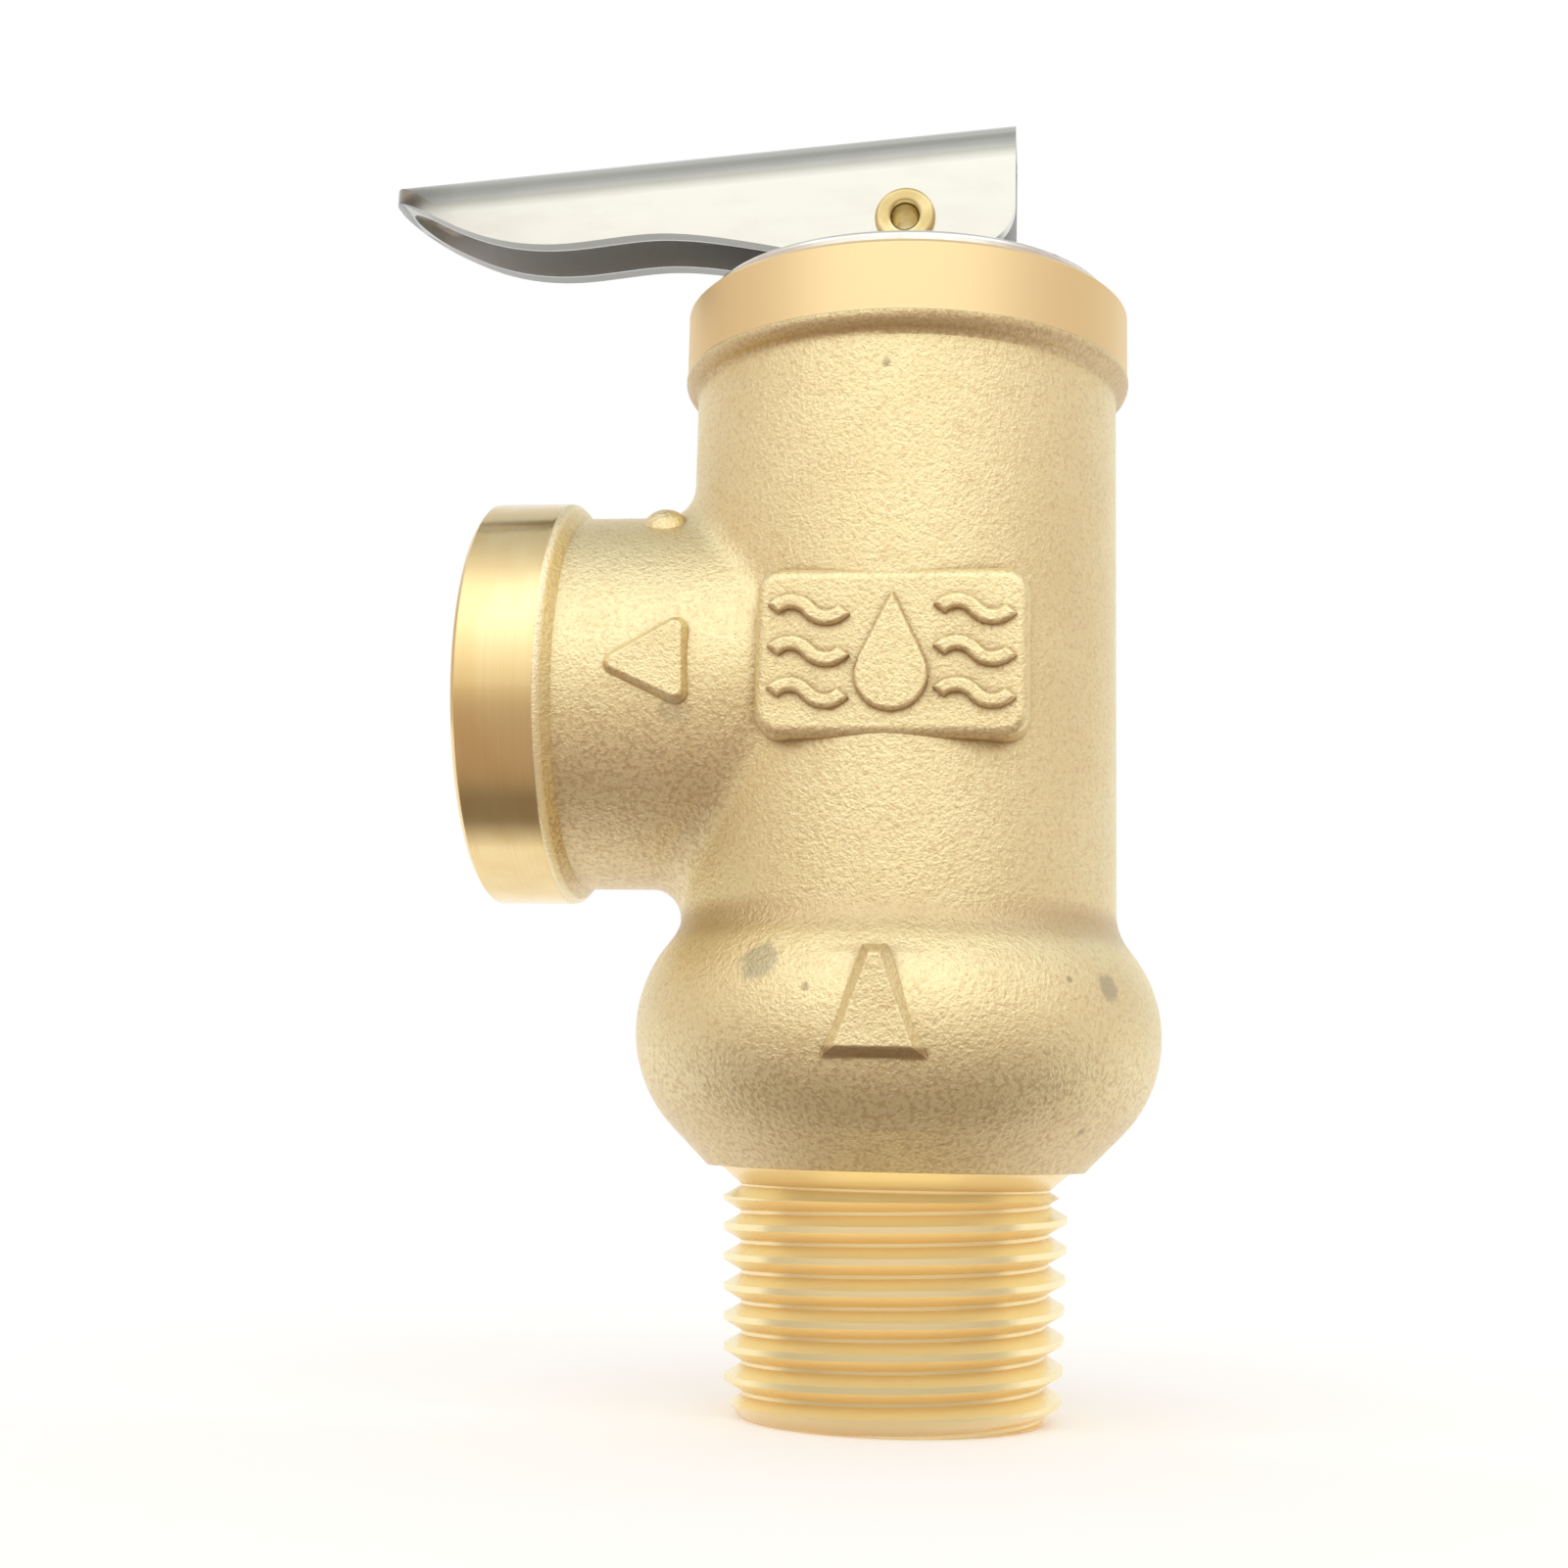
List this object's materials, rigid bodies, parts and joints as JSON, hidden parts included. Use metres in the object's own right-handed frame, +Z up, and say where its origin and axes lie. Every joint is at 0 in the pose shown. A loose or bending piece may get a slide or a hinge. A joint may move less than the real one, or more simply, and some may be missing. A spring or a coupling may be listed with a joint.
{
  "type": "pressure relief valve",
  "caption": "Angle-pattern pressure relief valve: cast brass body with a male pipe-thread inlet, a female side outlet, a spring-loaded seat disc and a hand test lever on top.",
  "frame": {"origin": "centre of the inlet's bottom face, on the valve's axis", "axes": "+Z up along the valve's axis towards the lever; the side outlet points along -X; the cast emblem faces -Y"},
  "size_m": [0.0519, 0.0335, 0.0838],
  "materials": {
    "cast_brass": "sand-cast skin with machined collars and thread",
    "plated_brass": "bright nickel plate, turned",
    "lever_plate": "bright plated pressing",
    "turned_brass": "turned",
    "spring_steel": "drawn wire, ground ends",
    "steel": "turned",
    "rubber": "matt",
    "bush_plastic": "machined"
  },
  "bodies": {
    "valve": {"valve_body": "cast_brass", "bonnet_cap": "plated_brass", "bonnet_oring": "rubber", "guide_bush": "bush_plastic", "stem_oring": "rubber", "lock_ring": "turned_brass", "adjusting_ring": "turned_brass", "thrust_washer": "steel", "upper_spring_plate": "turned_brass", "spring": "spring_steel"},
    "stem_group": {"stem": "steel", "stem_clip": "spring_steel", "disc_holder": "turned_brass", "seat_washer": "rubber", "washer_plate": "steel", "retaining_screw": "steel", "lower_spring_plate": "turned_brass"},
    "lever_group": {"lever": "lever_plate", "lever_pin": "turned_brass", "pin_washers": "bush_plastic"}
  },
  "joints": [
    {"name": "stem_lift", "type": "slide", "parent": "valve", "child": "stem_group", "axis": [0, 0, 1], "range_m": [0, 0.0026], "stiffness_N_per_m": 2000, "springref_m": -0.004, "deforming": ["spring"]},
    {"name": "lever_swing", "type": "hinge", "parent": "stem_group", "child": "lever_group", "pos_m": [0, 0, 0.0768], "axis": [0, 1, 0], "range_deg": [0, 35]}
  ],
  "couplings": [
    {"joint": "lever_swing", "follows": "stem_lift", "rad_per_m": 234.9}
  ]
}
